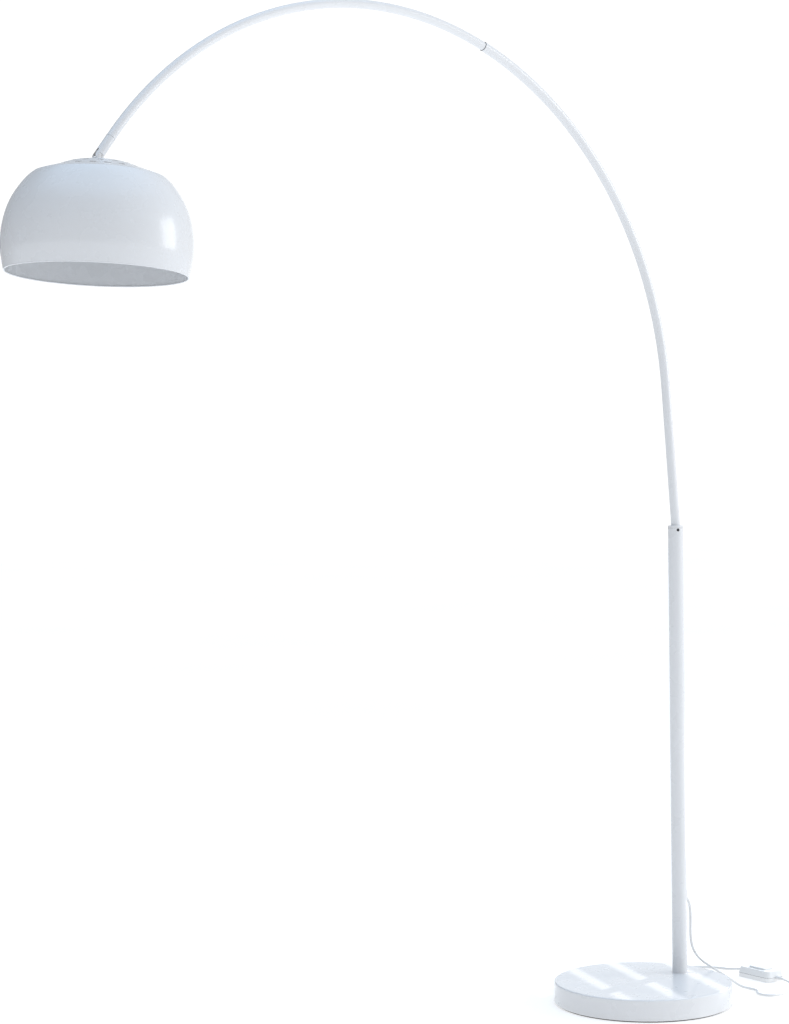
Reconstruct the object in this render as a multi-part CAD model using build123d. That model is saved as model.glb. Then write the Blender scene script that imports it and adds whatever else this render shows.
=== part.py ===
"""Arc floor lamp: weighted round base, offset pole, telescoping arched arm and a domed shade.

Millimetres, +Z up.  The origin is the centre of the base on the floor.  The pole stands on the
+X side of the base and the arm arches over the base to the shade, in the XZ plane, towards -X.
"""

import os
from math import atan2, cos, degrees, radians, sin, tan

from build123d import *

# ---------------------------------------------------------------- driving dimensions
BASE_RADIUS = 175.0
BASE_TOP = 43.0
BASE_WALL = 1.2
BASE_EDGE = 3.0
PAD_THICK = 2.5
PLATE_THICK = 1.5
BALLAST_RADIUS = 150.0
BALLAST_BOTTOM = 16.0
PLATE_SCREW_CIRCLE = 125.0

POLE_X = 108.0
POLE_RADIUS = 15.0
POLE_WALL = 1.5
POLE_TOP = 940.0
COLLAR_LIP = 5.0
COLLAR_SPIGOT = 34.0
GRUB_DROP = 9.0
GRUB_AZIMUTH = -117.0
GRUB_RADIUS = 3.0
OUTLET_Z = 203.0
OUTLET_SLOPE = -55.0

ARM_FOOT = 400.0
BEND_RADIUS = 175.0
LEAN = 5.12
STRAIGHT = 260.0
ARC_RADIUS = 726.0
LOWER_SWEEP = 65.45
WHOLE_SWEEP = 137.93
OVERLAP = 14.0
LOWER_RADIUS = 9.0
LOWER_BORE = 8.3
UPPER_RADIUS = 8.0
UPPER_BORE = 7.0
MOUTH_RING = 4.0
CABLE_RADIUS = 2.4

FERRULE_RADIUS = 8.2
FERRULE_LENGTH = 39.0
TONGUE_THICK = 6.0
TONGUE_RADIUS = 7.6
WASHER_THICK = 0.5
PIN_RADIUS = 2.5

SHADE_TILT = 3.1
SHADE_DROP = 9.0
SHADE_SIDE = 4.4
SHADE_HEIGHT = 182.7
SHADE_WALL = 0.8
RIM_RADIUS = 148.3
HUB_RADIUS = 16.0
CAP = [(16.0, 0.0), (44.7, 2.4), (67.0, 9.6), (89.0, 17.6), (107.0, 24.0)]
SHOULDER = [(115.0, 31.0), (124.7, 42.4), (133.0, 54.5), (141.3, 69.5), (147.6, 86.0)]
SIDE = [(152.4, 106.0), (154.6, 125.0), (154.7, 142.0)]
VENT_RINGS = [(82.0, 22, 8.2, 11.5, 6.5), (60.0, 16, 10.1, 10.0, 5.5)]

STEM_RADIUS = 5.0
STEM_LENGTH = 26.0
HOLDER_TOP = 9.0
HOLDER_BOTTOM = 57.0
HOLDER_RADIUS = 20.0
THREAD_RADIUS = 13.2
BULB_RADIUS = 30.0
BULB_BOTTOM = 136.0

CORD_RADIUS = 2.5
FLOOR_Z = 2.6
SWITCH_CENTRE = (337.0, -16.0)
SWITCH_HEADING = -95.0
SWITCH_LENGTH = 90.0
SWITCH_WIDTH = 50.0
SWITCH_HEIGHT = 21.5
SWITCH_CORD_Z = 8.5
RELIEF_LENGTH = 16.0
PEDAL_TRAVEL = 2.5
COIL_CENTRE = (190.0, 124.0)
COIL_MIDDLE = 27.5
COIL_BAND = 15.4
COIL_HEIGHT = 10.6
PLUG_BACK = (104.2, 200.6)
PLUG_HEADING = 140.0
PLUG_THICK = 13.7
PLUG_LENGTH = 38.0
PIN_PITCH = 18.6
PIN_GAP = 0.1

SLIP = 0.05

# Corner points of the cord from the pole's outlet to the switch, chosen by hand.
LAMP_ROUTE = [
    (129.5, 0, 191.5), (136.4, 0, 181.7), (140, 0, 167), (140.7, -0.5, 144), (140, 0.5, 113),
    (143.5, -2.5, 85), (155, -10.5, 65), (174, -22, 49), (195, -35, 33), (213, -47, 18),
    (226.5, -56.5, 6), (236.5, -69, 2.6), (237.5, -85, 2.6), (229, -98.5, 2.6), (217.5, -107, 2.6),
    (211, -119, 2.6), (213, -133.5, 2.6), (223, -143.5, 2.6), (237, -146.5, 2.6),
    (253, -145, 2.6), (271, -142.5, 2.6), (289, -138.5, 2.6), (306.5, -131.5, 2.6),
    (320.5, -119.5, 2.6), (328.5, -104, 3.2), (331, -90, 6.8), (331.7, -76.8, 8.5),
]
# Corner points of the cord from the switch to the put-away coil.
PLUG_ROUTE = [
    (342.3, 44.8, 8.5), (343.5, 58, 6.4), (345, 78, 2.7), (341, 101, 2.6), (328, 123, 2.6),
    (309, 140, 2.6), (284, 150, 2.6), (256, 151.5, 2.6), (229, 154.5, 2.6), (207, 156.4, 2.6),
    (190, 156.5, 2.6),
]
# Corner points of the short lead from the top of the coil to the plug.
LEAD_ROUTE = [
    (196, 156, 7.8), (181, 156.4, 7.8), (166, 159, 5.4), (151, 164.5, 3), (136, 174.5, 4),
    (118, 189, 6.85),
]

# ---------------------------------------------------------------- derived places
LEAN_DIR = Vector(-sin(radians(LEAN)), 0, cos(radians(LEAN)))
BEND_CENTRE = Vector(POLE_X - BEND_RADIUS, 0, POLE_TOP)
BEND_END = BEND_CENTRE + Vector(cos(radians(LEAN)), 0, sin(radians(LEAN))) * BEND_RADIUS
ARC_START = BEND_END + LEAN_DIR * STRAIGHT
ARC_CENTRE = ARC_START - Vector(cos(radians(LEAN)), 0, sin(radians(LEAN))) * ARC_RADIUS
SLIDE_START = LOWER_SWEEP - OVERLAP


def arc_plane(sweep):
    """Plane across the arm at an angle along the big arc, its normal along the arm."""
    turn = radians(LEAN + sweep)
    centre = ARC_CENTRE + Vector(cos(turn), 0, sin(turn)) * ARC_RADIUS
    return Plane(centre, x_dir=(0, 1, 0), z_dir=(-sin(turn), 0, cos(turn)))


FERRULE_PLANE = arc_plane(WHOLE_SWEEP)
PIVOT = FERRULE_PLANE.origin + FERRULE_PLANE.z_dir * FERRULE_LENGTH
SHADE_DOWN = Vector(-sin(radians(SHADE_TILT)), 0, -cos(radians(SHADE_TILT)))
SHADE_APEX = PIVOT + SHADE_DOWN * SHADE_DROP + Vector(SHADE_SIDE, 0, 0)
# The shade's own frame: local +Z runs down its axis from the top of the dome.
SHADE_FRAME = Plane(SHADE_APEX, x_dir=(0, 1, 0), z_dir=SHADE_DOWN)
SWITCH_FRAME = Plane(
    (SWITCH_CENTRE[0], SWITCH_CENTRE[1], 0),
    x_dir=(cos(radians(SWITCH_HEADING)), sin(radians(SWITCH_HEADING)), 0),
    z_dir=(0, 0, 1),
)
PLUG_FRAME = Plane(
    (PLUG_BACK[0], PLUG_BACK[1], PLUG_THICK / 2),
    x_dir=(0, 0, 1),
    z_dir=(cos(radians(PLUG_HEADING)), sin(radians(PLUG_HEADING)), 0),
)


# ---------------------------------------------------------------- helpers
def save(name, shape):
    """Write one node."""
    export_step(shape, "parts/" + name + ".step")


def rod(plane, radius, start, end, hole=0.0):
    """Round bar or tube along a plane's normal, between two heights."""
    face = Circle(radius) - Circle(hole) if hole else Circle(radius)
    return extrude(plane.offset(start) * face, end - start)


def turned(plane, outline):
    """Solid of revolution about a plane's normal, from (radius, height) corners."""
    face = make_face(Polyline(*[(r, h) for r, h in outline], close=True))
    upright = Plane(plane.origin, x_dir=plane.x_dir, z_dir=-plane.y_dir)
    return revolve(upright * face, Axis(plane.origin, plane.z_dir))


def bent(sweep_from, sweep_to, outer, inner=0.0):
    """Stretch of round tube along the big arc."""
    face = Circle(outer) - Circle(inner) if inner else Circle(outer)
    axis = Axis(ARC_CENTRE, (0, -1, 0))
    return revolve(arc_plane(sweep_from) * face, axis, sweep_to - sweep_from)


def foot_to_arc(foot_bottom, sweep_to, outer, inner=0.0):
    """Tube from inside the pole, through the small bend and the straight, and along the arc."""
    face = Circle(outer) - Circle(inner) if inner else Circle(outer)
    at_foot = Plane((POLE_X, 0, foot_bottom))
    foot = extrude(at_foot * face, POLE_TOP - foot_bottom)
    bend = revolve(Plane((POLE_X, 0, POLE_TOP)) * face, Axis(BEND_CENTRE, (0, -1, 0)), LEAN)
    at_bend = Plane(BEND_END, x_dir=(0, 1, 0), z_dir=LEAN_DIR)
    straight = extrude(at_bend * face, STRAIGHT)
    return foot + bend + straight + bent(0, sweep_to, outer, inner)


def hexagon(plane, across, start, end):
    """Hexagonal bar along a plane's normal, sized across its flats."""
    face = RegularPolygon(across / 2, 6, major_radius=False)
    return extrude(plane.offset(start) * face, end - start)


def cord(name, route):
    """Round cord along straight runs joined by the largest arcs that they allow."""
    points = [Vector(*p) for p in route]
    radii = []
    for before, here, after in zip(points, points[1:], points[2:]):
        turn = (here - before).get_angle(after - here)
        shorter = min((here - before).length, (after - here).length)
        radii.append(0.45 * shorter / tan(radians(turn / 2)))
    path = FilletPolyline(*points, radius=radii)
    section = Plane(path @ 0, z_dir=path % 0) * Circle(CORD_RADIUS)
    tube = sweep(section, path=path)
    expected = path.length * 3.14159265 * CORD_RADIUS**2
    print(name, "length", round(path.length, 1), "volume ratio", round(tube.volume / expected, 4))
    print("  radii", [round(r, 1) for r in radii])
    return tube


# ---------------------------------------------------------------- base
FLOOR = Plane((0, 0, 0))
UNDER_POLE = Plane((POLE_X, 0, 0))
PLATE_SCREW_PLACES = PolarLocations(PLATE_SCREW_CIRCLE, 4, start_angle=45)
PLATE_BOTTOM = PAD_THICK
PLATE_TOP = PAD_THICK + PLATE_THICK


def floor_pad():
    """Felt disc that the lamp stands on."""
    return rod(FLOOR, BASE_RADIUS - 5, 0, PAD_THICK)


def base_plate():
    """Steel plate that closes the underside, countersunk for its four screws."""
    plate = rod(FLOOR, BASE_RADIUS - BASE_WALL - 0.6, PLATE_BOTTOM, PLATE_TOP)
    for place in PLATE_SCREW_PLACES:
        plate -= place * turned(
            FLOOR,
            [(0, PLATE_BOTTOM), (5.0, PLATE_BOTTOM), (2.7, PLATE_TOP), (0, PLATE_TOP)],
        )
    return plate


def plate_screw():
    """Countersunk screw from the plate up into the ballast, with a cross recess."""
    head = [(0, PLATE_BOTTOM), (4.9, PLATE_BOTTOM), (2.5, PLATE_TOP), (2.5, 24), (0, 24)]
    cross = Box(6, 1.2, 2.4) + Box(1.2, 6, 2.4)
    return turned(FLOOR, head) - Pos(0, 0, PLATE_BOTTOM) * cross


def ballast_disc():
    """Cast iron weight, tapped for the plate's screws and bored for the pole's bolt."""
    disc = rod(FLOOR, BALLAST_RADIUS, BALLAST_BOTTOM, BASE_TOP - BASE_WALL)
    for place in PLATE_SCREW_PLACES:
        disc -= place * rod(FLOOR, 2.55, BALLAST_BOTTOM, 25)
    disc -= rod(UNDER_POLE, 5.5, BALLAST_BOTTOM, BASE_TOP)
    disc -= rod(UNDER_POLE, 19, BALLAST_BOTTOM, BALLAST_BOTTOM + 6)
    return disc


def base_cover():
    """Spun steel cover with a small rounded top edge and a rolled-in foot."""
    draft = 0.8
    top_r = BASE_RADIUS - draft
    inner = BASE_RADIUS - BASE_WALL
    outline = [(0, BASE_TOP), (top_r, BASE_TOP), (BASE_RADIUS, 4.2), (BASE_RADIUS - 0.4, 3.0)]
    outline += [(inner - 0.2, 3.0), (inner, 4.2), (inner - draft, BASE_TOP - BASE_WALL)]
    outline += [(0, BASE_TOP - BASE_WALL)]
    cover = turned(FLOOR, outline)
    top_edge = cover.edges().filter_by(GeomType.CIRCLE).filter_by(
        lambda e: abs(e.center().Z - BASE_TOP) < 0.01 and e.radius > top_r - 1
    )
    under_edge = cover.edges().filter_by(GeomType.CIRCLE).filter_by(
        lambda e: abs(e.center().Z - BASE_TOP + BASE_WALL) < 0.01 and e.radius > top_r - 5
    )
    cover = fillet(top_edge, BASE_EDGE)
    cover = fillet(
        cover.edges().filter_by(GeomType.CIRCLE).filter_by(
            lambda e: abs(e.center().Z - under_edge[0].center().Z) < 0.01
            and e.radius > top_r - 5
        ),
        BASE_EDGE - BASE_WALL,
    )
    return cover - rod(UNDER_POLE, 5.5, 30, BASE_TOP + 1)


# ---------------------------------------------------------------- pole
def pole_bolt():
    """Hexagon bolt that pulls the pole down on the base from below."""
    head = hexagon(UNDER_POLE, 17, BALLAST_BOTTOM - 1.9, BALLAST_BOTTOM + 4)
    return head + rod(UNDER_POLE, 5, BALLAST_BOTTOM + 4, BASE_TOP + 30)


def pole_washer():
    """Plain washer under the bolt's head."""
    return rod(UNDER_POLE, 15, BALLAST_BOTTOM + 4, BALLAST_BOTTOM + 6, 5.3)


def pole_foot_plug():
    """Tapped steel plug fixed in the pole's foot."""
    return rod(UNDER_POLE, POLE_RADIUS - POLE_WALL - 0.02, BASE_TOP, BASE_TOP + 38, 5.02)


def pole_tube():
    """Upright steel tube with a hole for the cord outlet and one for the grub screw."""
    tube = rod(UNDER_POLE, POLE_RADIUS, BASE_TOP, POLE_TOP - COLLAR_LIP, POLE_RADIUS - POLE_WALL)
    tube -= rod(Plane((POLE_X, 0, OUTLET_Z), z_dir=(1, 0, 0)), 5.05, 5, 20)
    return tube - rod(GRUB_PLANE, GRUB_RADIUS + SLIP, 9, 20)


GRUB_PLANE = Plane(
    (POLE_X, 0, POLE_TOP - GRUB_DROP),
    z_dir=(cos(radians(GRUB_AZIMUTH)), sin(radians(GRUB_AZIMUTH)), 0),
)


def pole_collar():
    """Top collar: a lip as wide as the pole and a long spigot inside it."""
    lip = rod(UNDER_POLE, POLE_RADIUS, POLE_TOP - COLLAR_LIP, POLE_TOP, LOWER_RADIUS + 0.08)
    lip = chamfer(lip.edges().sort_by(Axis.Z)[-2:].sort_by(SortBy.RADIUS)[-1], 0.8)
    spigot = rod(
        UNDER_POLE,
        POLE_RADIUS - POLE_WALL - 0.02,
        POLE_TOP - COLLAR_SPIGOT,
        POLE_TOP - COLLAR_LIP,
        LOWER_RADIUS + 0.08,
    )
    return lip + spigot - rod(GRUB_PLANE, GRUB_RADIUS + SLIP, 5, 20)


def arm_set_screw():
    """Grub screw that clamps the arm's foot, with a hexagon socket."""
    screw = rod(GRUB_PLANE, GRUB_RADIUS, LOWER_RADIUS + 0.4, POLE_RADIUS - 0.4)
    screw = chamfer(screw.edges().filter_by(GeomType.CIRCLE), 0.4)
    return screw - hexagon(GRUB_PLANE, 3, POLE_RADIUS - 3.2, POLE_RADIUS)


def guide_bush():
    """Nylon bush below the collar that turns with the arm and lets it slide."""
    bottom = POLE_TOP - COLLAR_SPIGOT - 30.3
    top = POLE_TOP - COLLAR_SPIGOT - 0.3
    return rod(UNDER_POLE, POLE_RADIUS - POLE_WALL - SLIP, bottom, top, LOWER_RADIUS + SLIP)


def outlet_plane():
    """Plane at the root of the outlet's nozzle, its normal down the nozzle."""
    slope = radians(OUTLET_SLOPE)
    return Plane((POLE_X + 13.5, 0, OUTLET_Z), x_dir=(0, 1, 0), z_dir=(cos(slope), 0, sin(slope)))


def cord_outlet():
    """Moulded outlet in the pole's side whose nozzle points the cord downwards."""
    across = Plane((POLE_X, 0, OUTLET_Z), z_dir=(1, 0, 0))
    barrel = rod(across, 5, 11, 18)
    flange = rod(across, 7, 14.6, 17)
    nozzle = turned(outlet_plane(), [(0, 0), (5.2, 0), (5.2, 5), (3.7, 14.04), (0, 14.04)])
    knob = Pos(POLE_X + 16.2, 0, OUTLET_Z) * Sphere(5.4)
    outside = Box(20, 20, 40, align=(Align.MIN, Align.CENTER, Align.CENTER))
    shell = (knob + nozzle + flange) & (Pos(POLE_X, 0, OUTLET_Z) * outside)
    shell -= rod(UNDER_POLE, POLE_RADIUS, OUTLET_Z - 30, OUTLET_Z + 30)
    return shell + barrel


def pole_cable():
    """Supply cable inside the pole, from the outlet up to below the arm's foot."""
    reach = POLE_TOP - ARM_FOOT - 30
    return rod(UNDER_POLE, CABLE_RADIUS, OUTLET_Z - 12, reach)


# ---------------------------------------------------------------- arm
def lower_arm_tube():
    """Lower arm: straight foot in the pole, small bend, leaning straight and arc."""
    return foot_to_arc(POLE_TOP - ARM_FOOT, LOWER_SWEEP, LOWER_RADIUS, LOWER_BORE)


def arm_mouth_ring():
    """Guide ring pressed on the open end of the lower arm."""
    ring_sweep = degrees(MOUTH_RING / ARC_RADIUS)
    return bent(LOWER_SWEEP, LOWER_SWEEP + ring_sweep, LOWER_RADIUS, UPPER_RADIUS + SLIP)


def lower_arm_cable():
    """Supply cable inside the lower arm."""
    return foot_to_arc(POLE_TOP - ARM_FOOT + 8, 15, CABLE_RADIUS)


def upper_arm_tube():
    """Upper arm: one arc that slides into the lower arm."""
    return bent(SLIDE_START, WHOLE_SWEEP, UPPER_RADIUS, UPPER_BORE)


def arm_slide_bush():
    """Nylon bush on the hidden end of the upper arm."""
    length = degrees(12 / ARC_RADIUS)
    spigot = degrees(10 / ARC_RADIUS)
    collar = bent(SLIDE_START - length, SLIDE_START, LOWER_BORE - SLIP, 4.5)
    return collar + bent(SLIDE_START, SLIDE_START + spigot, UPPER_BORE - 0.02, 4.5)


def upper_arm_cable():
    """Supply cable inside the upper arm, through the ferrule to its slot."""
    curved = bent(SLIDE_START - 0.5, WHOLE_SWEEP, CABLE_RADIUS)
    return curved + rod(FERRULE_PLANE, CABLE_RADIUS, 0, FERRULE_LENGTH - 10.5)


# ---------------------------------------------------------------- knuckle
SIDEWAYS = Plane(PIVOT, x_dir=FERRULE_PLANE.z_dir, z_dir=(0, -1, 0))
SLOT_HALF = TONGUE_THICK / 2 + WASHER_THICK + 2 * SLIP


def arm_ferrule():
    """Slotted end piece of the arm: a spigot, a sleeve and two round ears."""
    sleeve = rod(FERRULE_PLANE, FERRULE_RADIUS, 0.25, FERRULE_LENGTH + FERRULE_RADIUS)
    keep = Pos(0, 0, FERRULE_LENGTH / 2) * Box(40, 40, FERRULE_LENGTH)
    ears = rod(SIDEWAYS, FERRULE_RADIUS, -12, 12)
    sleeve = sleeve & (FERRULE_PLANE * keep + ears)
    depth = TONGUE_RADIUS + 2.2 + FERRULE_RADIUS
    slot = Pos(0, 0, FERRULE_LENGTH + FERRULE_RADIUS - depth / 2) * Box(SLOT_HALF * 2, 40, depth)
    body = sleeve - FERRULE_PLANE * slot + rod(FERRULE_PLANE, UPPER_BORE - 0.25, -16, 0.25)
    body -= rod(FERRULE_PLANE, CABLE_RADIUS + 0.6, -30, FERRULE_LENGTH - 5)
    body -= rod(SIDEWAYS, PIN_RADIUS + 0.02, -12, 12)
    body -= rod(SIDEWAYS, 3.5, 5.6, 12)
    return body - rod(SIDEWAYS, 4.4, -12, -5.6)


def knuckle_screw():
    """Shouldered hinge screw with a socket head sunk in the ferrule."""
    screw = rod(SIDEWAYS, PIN_RADIUS, -7.3, 5.6) + rod(SIDEWAYS, 3.3, 5.6, 7.7)
    screw = chamfer(screw.edges().sort_by(Axis.Y)[0], 0.4)
    return screw - hexagon(SIDEWAYS, 3, 6.0, 9)


def knuckle_nut():
    """Hexagon nut on the far side of the ferrule."""
    return hexagon(SIDEWAYS, 7, -7.6, -5.6) - rod(SIDEWAYS, PIN_RADIUS + 0.02, -9, -4)


def knuckle_washers():
    """Two friction washers, one each side of the tongue."""
    near = rod(SIDEWAYS, 6.5, TONGUE_THICK / 2 + SLIP, TONGUE_THICK / 2 + SLIP + 0.5, PIN_RADIUS + 0.02)
    far = rod(SIDEWAYS, 6.5, -TONGUE_THICK / 2 - SLIP - 0.5, -TONGUE_THICK / 2 - SLIP, PIN_RADIUS + 0.02)
    return Compound(children=[near, far])


def shade_knuckle():
    """Tongue, collar and hollow threaded stem that carry the shade."""
    disc = rod(SIDEWAYS, TONGUE_RADIUS, -TONGUE_THICK / 2, TONGUE_THICK / 2)
    neck = Pos(0, 0, -SHADE_DROP / 2) * Box(TONGUE_THICK, 9.6, SHADE_DROP)
    collar = rod(SHADE_FRAME, 8.4, -0.45, 0)
    stem = rod(SHADE_FRAME, STEM_RADIUS, 0, STEM_LENGTH)
    body = disc + SHADE_FRAME * neck + collar + stem
    body -= rod(SHADE_FRAME, CABLE_RADIUS + 0.3, 2.5, STEM_LENGTH + 1)
    return body - rod(SIDEWAYS, PIN_RADIUS + SLIP, -10, 10)


# ---------------------------------------------------------------- shade
def inset(points, depth):
    """Outline points moved inwards, square to the outline, by the wall's thickness."""
    moved = []
    for i, here in enumerate(points):
        before = points[max(i - 1, 0)]
        after = points[min(i + 1, len(points) - 1)]
        along = Vector(after[0] - before[0], after[1] - before[1]).normalized()
        moved.append((here[0] - along.Y * depth, here[1] + along.X * depth))
    return moved


def shade():
    """Domed shade: shallow vented cap, round shoulder and a beaded rim."""
    top = [(0, 0), (HUB_RADIUS, 0)]
    flare = SHOULDER + SIDE + [(RIM_RADIUS, SHADE_HEIGHT)]
    wall = inset(CAP + flare, SHADE_WALL)
    wall[0] = (HUB_RADIUS, SHADE_WALL)
    wall[-1] = (RIM_RADIUS - SHADE_WALL, SHADE_HEIGHT)
    edge = len(CAP) - 1
    cap = Spline(*CAP, tangents=[(1, 0), (1, 0.42)])
    side = Spline(*([CAP[-1]] + flare), tangents=[(1, 0.8), (-0.2, 1)])
    side_in = Spline(*reversed(wall[edge:]), tangents=[(0.2, -1), (-1, -0.8)])
    cap_in = Spline(*reversed(wall[: edge + 1]), tangents=[(-1, -0.42), (-1, 0)])
    lip = Line(flare[-1], wall[-1])
    hub = [Line(*top), Line(wall[0], (0, SHADE_WALL)), Line((0, SHADE_WALL), (0, 0))]
    face = make_face([cap, side, lip, side_in, cap_in] + hub)
    bead = Pos(RIM_RADIUS - 0.9, SHADE_HEIGHT - 0.9) * Circle(1.3)
    upright = Plane(SHADE_APEX, x_dir=SHADE_FRAME.x_dir, z_dir=-SHADE_FRAME.y_dir)
    axis = Axis(SHADE_APEX, SHADE_DOWN)
    body = revolve(upright * face, axis) + revolve(upright * bead, axis)
    body -= rod(SHADE_FRAME, STEM_RADIUS + 0.05, -5, 10)
    for ring, count, start, length, width in VENT_RINGS:
        slot = extrude(SlotOverall(length, width, rotation=90), 45)
        for place in PolarLocations(ring, count, start_angle=start):
            body -= SHADE_FRAME * place * Pos(0, 0, -5) * slot
    return body


def shade_washer():
    """Wide washer under the dome."""
    return rod(SHADE_FRAME, 12, SHADE_WALL + 0.35, SHADE_WALL + 1.85, STEM_RADIUS + 0.02)


def shade_nut():
    """Hexagon lock nut that clamps the shade on the stem."""
    nut = hexagon(SHADE_FRAME, 15, SHADE_WALL + 1.85, SHADE_WALL + 6.4)
    return nut - rod(SHADE_FRAME, STEM_RADIUS + 0.02, 0, 12)


def lampholder_cup():
    """Moulded cup of the lampholder, screwed on the stem."""
    low = HOLDER_BOTTOM
    rim = HOLDER_RADIUS
    outline = [(STEM_RADIUS + 0.02, HOLDER_TOP), (10, HOLDER_TOP), (12, 11), (13, 16)]
    outline += [(rim - 1, 22), (rim, 26), (rim, low - 9), (rim + 1.5, low - 8)]
    outline += [(rim + 1.5, low - 5), (rim, low - 4), (rim, low), (rim - 2, low)]
    outline += [(rim - 2, 27), (11, 20), (10, 14), (STEM_RADIUS + 0.02, 14)]
    return turned(SHADE_FRAME, outline)


def lampholder_core():
    """Porcelain core inside the cup, with a floor for the contacts."""
    outline = [(0, 27.5), (17.9, 27.5), (17.9, 55), (14.2, 55), (14.2, 31), (0, 31)]
    return turned(SHADE_FRAME, outline)


def screw_shell():
    """Threaded contact sleeve of the lampholder."""
    return rod(SHADE_FRAME, 14.15, 31.5, 53.5, THREAD_RADIUS + SLIP)


def centre_contact():
    """Springy centre contact on the core's floor."""
    strip = Box(5, 14, 0.6) + Pos(0, 0, 0.9) * Box(4, 6, 1.2)
    return SHADE_FRAME * (Pos(0, 0, 31.35) * strip)


def holder_cable():
    """Supply cable from the stem to the lampholder's core."""
    return rod(SHADE_FRAME, CABLE_RADIUS, 4, 27.4)


def bulb_cap():
    """Threaded metal cap of the bulb, drawn round without its thread's pitch."""
    outline = [(0, 35), (8, 35), (10, 37), (THREAD_RADIUS, 39), (THREAD_RADIUS, 60.5)]
    outline += [(THREAD_RADIUS - 0.6, 60.5), (THREAD_RADIUS - 0.6, 40), (9, 38), (0, 38)]
    return turned(SHADE_FRAME, outline)


def bulb_contact():
    """Insulator and solder tip on the end of the cap."""
    return turned(SHADE_FRAME, [(0, 33.2), (3, 33.2), (4, 34), (7, 34.4), (7, 34.98), (0, 34.98)])


def bulb_glass():
    """Frosted bulb envelope, one closed shell of glass open only inside its cap."""
    outer = [(12.3, 56), (12.4, 61), (15.4, 70), (22, 81), (28.5, 95), (BULB_RADIUS, 107), (27, 121)]
    outer += [(18, 132)]
    tip = (0, BULB_BOTTOM)
    inner = [(r - 1.0, h + 0.1) for r, h in outer[:-2]] + [(26.1, 120.4), (17.4, 131.1)]
    tip_in = (0, BULB_BOTTOM - 1)
    side = Spline(*outer, tip, tangents=[(0.1, 1), (-1, 0)])
    side_in = Spline(tip_in, *reversed(inner), tangents=[(1, 0), (-0.1, -1)])
    neck = Line(inner[0], outer[0])
    face = make_face([side, Line(tip, tip_in), side_in, neck])
    upright = Plane(SHADE_APEX, x_dir=SHADE_FRAME.x_dir, z_dir=-SHADE_FRAME.y_dir)
    return revolve(upright * face, Axis(SHADE_APEX, SHADE_DOWN))


# ---------------------------------------------------------------- foot switch and plug
SPLIT_Z = 9.0
PEDAL_LENGTH = 46.0
PEDAL_WIDTH = 28.0
SWITCH_SCREWS = [(-32, 13), (32, -13)]


def switch_block_shape(shrink):
    """Tapered block with rounded corners; shrink makes the hollow of the shells."""
    long = SWITCH_LENGTH - 2 * shrink
    wide = SWITCH_WIDTH - 2 * shrink
    foot = Plane((0, 0, shrink)) * RectangleRounded(long, wide, 9 - shrink)
    middle = Plane((0, 0, SPLIT_Z)) * RectangleRounded(long, wide, 9 - shrink)
    head = Plane((0, 0, SWITCH_HEIGHT - shrink)) * RectangleRounded(long - 7, wide - 7, 7 - shrink)
    low = extrude(foot, SPLIT_Z - shrink)
    return low + loft([middle.face(), head.face()])


def relief_bores():
    """Holes for the two strain reliefs, along the switch."""
    along = Plane((0, 0, SWITCH_CORD_Z), z_dir=(1, 0, 0))
    return rod(along, 4.02, -SWITCH_LENGTH, SWITCH_LENGTH)


def switch_shells():
    """Lower and upper shells of the foot switch."""
    shell = switch_block_shape(0) - switch_block_shape(2.2) - relief_bores()
    pedal_hole = RectangleRounded(PEDAL_LENGTH + 0.6, PEDAL_WIDTH + 0.6, 6.3)
    shell -= Pos(0, 0, SWITCH_HEIGHT - 6) * extrude(pedal_hole, 10)
    lower_half = Pos(0, 0, SPLIT_Z / 2) * Box(200, 200, SPLIT_Z)
    upper_half = Pos(0, 0, SPLIT_Z + 25) * Box(200, 200, 50)
    lower = shell & lower_half
    upper = shell & upper_half
    for x, y in SWITCH_SCREWS:
        lower += Pos(x, y, 0) * rod(FLOOR, 4, 2.1, SPLIT_Z, 1.6)
        lower -= Pos(x, y, 0) * rod(FLOOR, 3.1, -1, 1.6)
        lower -= Pos(x, y, 0) * rod(FLOOR, 1.62, -1, 4)
        upper += Pos(x, y, 0) * rod(FLOOR, 4, SPLIT_Z, SWITCH_HEIGHT - 2, 1.3)
    return SWITCH_FRAME * lower, SWITCH_FRAME * upper


def switch_screws():
    """Two screws that join the shells from below."""
    parts = []
    for x, y in SWITCH_SCREWS:
        screw = rod(FLOOR, 3, 0.3, 1.6) + rod(FLOOR, 1.25, 1.6, 14)
        screw -= Pos(0, 0, 0.5) * (Box(3.6, 0.8, 1.2) + Box(0.8, 3.6, 1.2))
        parts.append(SWITCH_FRAME * (Pos(x, y, 0) * screw))
    return Compound(children=parts)


def switch_mechanism():
    """Sealed push-push contact block on the floor of the lower shell."""
    block = Pos(0, 0, 8.1) * Box(30, 20, 11.6)
    plunger = rod(FLOOR, 3.5, 13.9, 15.4)
    return SWITCH_FRAME * (block + plunger)


def switch_pedal():
    """Foot pedal that presses the contact block's plunger."""
    top = SWITCH_HEIGHT + 3.4
    plate = extrude(Plane((0, 0, SWITCH_HEIGHT - 3.4)) * RectangleRounded(PEDAL_LENGTH, PEDAL_WIDTH, 6), 6.8)
    plate = fillet(plate.faces().sort_by(Axis.Z)[-1].edges(), 1.6)
    post = rod(FLOOR, 3, 15.5 + PEDAL_TRAVEL + 0.1, top - 3)
    hollow = Pos(0, 0, SWITCH_HEIGHT - 1.6) * Box(PEDAL_LENGTH - 6, PEDAL_WIDTH - 6, 3.6)
    return SWITCH_FRAME * (plate - hollow + post)


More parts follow.
